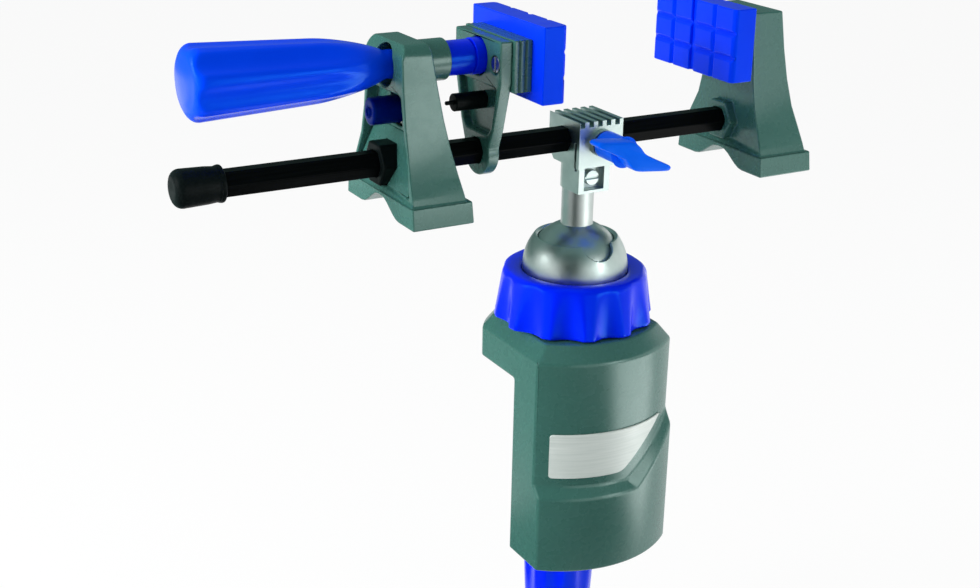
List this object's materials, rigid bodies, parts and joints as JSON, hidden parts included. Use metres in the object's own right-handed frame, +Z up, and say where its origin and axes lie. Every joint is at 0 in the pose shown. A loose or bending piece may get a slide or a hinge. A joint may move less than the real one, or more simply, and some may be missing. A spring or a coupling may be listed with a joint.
{
  "type": "multi-angle bench vise",
  "caption": "Bench vise with a hex bar clamp between padded jaws, held on a lockable tilting ball swivel above a screw clamp housing.",
  "frame": {"origin": "on the bench top, under the centre of the swivel ball", "axes": "+X along the hex bar towards the fixed jaw, +Y in over the bench, +Z up"},
  "size_m": [0.3645, 0.108, 0.386],
  "materials": {
    "housing_plastic": "satin moulded grey-green plastic",
    "blue_plastic": "smooth moulded blue plastic",
    "pad_plastic": "semi-soft blue jaw plastic",
    "die_cast": "satin die-cast zinc alloy",
    "steel": "bright turned steel",
    "stud_chrome": "polished and plated",
    "black_bar": "black oxide finish",
    "cap_rubber": "black soft cap",
    "brass_bush": "plain",
    "label_foil": "bare brushed plate"
  },
  "bodies": {
    "base": {"base_housing": "housing_plastic", "ball_cup": "die_cast", "label_plate": "label_foil", "screw_bush": "brass_bush"},
    "foot": {"clamp_foot": "housing_plastic"},
    "bench_screw": {"clamp_screw": "steel", "foot_ring": "steel", "bench_knob": "blue_plastic", "knob_pin": "steel"},
    "collar": {"locking_collar": "blue_plastic"},
    "dome": {"socket_dome": "die_cast"},
    "ball": {"ball_stud": "stud_chrome"},
    "head": {"clamp_head": "die_cast", "neck_screw": "steel"},
    "shoe": {"clamp_shoe": "brass_bush"},
    "wing": {"wing_knob": "blue_plastic", "knob_stud": "steel"},
    "bar": {"hex_bar": "black_bar", "bar_end_cap": "cap_rubber", "fixed_jaw_frame": "housing_plastic", "bar_pin": "steel", "fixed_pad_holder": "housing_plastic", "fixed_jaw_pad": "pad_plastic", "fixed_pad_screws": "steel"},
    "slider": {"handle_frame": "housing_plastic", "spindle_nut": "housing_plastic", "lock_spring": "steel"},
    "lock": {"lock_plate": "steel", "release_button": "blue_plastic"},
    "jaw": {"jaw_carrier": "housing_plastic", "moving_pad_holder": "housing_plastic", "moving_jaw_pad": "pad_plastic", "carrier_screws": "steel", "stop_screw": "black_bar"},
    "handle": {"vise_handle": "blue_plastic", "spindle": "steel", "thrust_collar": "blue_plastic"}
  },
  "joints": [
    {"name": "foot_lift", "type": "slide", "parent": "base", "child": "foot", "axis": [0, 0, 1], "range_m": [-0.025, 0.009]},
    {"name": "bench_screw_turn", "type": "hinge", "parent": "foot", "child": "bench_screw", "pos_m": [0, 0.004, -0.05], "axis": [0, 0, 1], "range_deg": [-3001, 1081]},
    {"name": "collar_turn", "type": "hinge", "parent": "base", "child": "collar", "pos_m": [0, 0, 0.04], "axis": [0, 0, 1], "range_deg": [-120, 0]},
    {"name": "dome_swivel", "type": "hinge", "parent": "base", "child": "dome", "pos_m": [0, 0, 0.057], "axis": [0, 0, 1], "continuous": true},
    {"name": "ball_tilt", "type": "hinge", "parent": "dome", "child": "ball", "pos_m": [0, 0, 0.057], "axis": [1, 0, 0], "range_deg": [-28, 49]},
    {"name": "head_swivel", "type": "hinge", "parent": "ball", "child": "head", "pos_m": [0, 0, 0.11], "axis": [0, 0, 1], "continuous": true},
    {"name": "shoe_press", "type": "slide", "parent": "head", "child": "shoe", "axis": [0, 1, 0], "range_m": [-0.0012, 0.00025]},
    {"name": "wing_turn", "type": "hinge", "parent": "shoe", "child": "wing", "pos_m": [0.0035, -0.03, 0.132], "axis": [0, 1, 0], "range_deg": [-346, 73]},
    {"name": "bar_slide", "type": "slide", "parent": "head", "child": "bar", "axis": [1, 0, 0], "range_m": [-0.074, 0.004]},
    {"name": "frame_slide", "type": "slide", "parent": "bar", "child": "slider", "axis": [1, 0, 0], "range_m": [-0.078, 0.034]},
    {"name": "lock_tilt", "type": "hinge", "parent": "slider", "child": "lock", "pos_m": [-0.1083, 0, 0.12], "axis": [0, 1, 0], "range_deg": [0, 4], "stiffness_Nm_per_rad": 1.2, "springref_deg": -1.72, "deforming": ["lock_spring"]},
    {"name": "jaw_feed", "type": "slide", "parent": "slider", "child": "jaw", "axis": [1, 0, 0], "range_m": [0, 0.009]},
    {"name": "handle_spin", "type": "hinge", "parent": "jaw", "child": "handle", "pos_m": [-0.1, 0, 0.1825], "axis": [1, 0, 0], "range_deg": [-1, 1081]}
  ],
  "couplings": [
    {"joint": "bench_screw_turn", "follows": "foot_lift", "rad_per_m": 2094.4},
    {"joint": "wing_turn", "follows": "shoe_press", "rad_per_m": 5026.5},
    {"joint": "handle_spin", "follows": "jaw_feed", "rad_per_m": 2094.4}
  ]
}
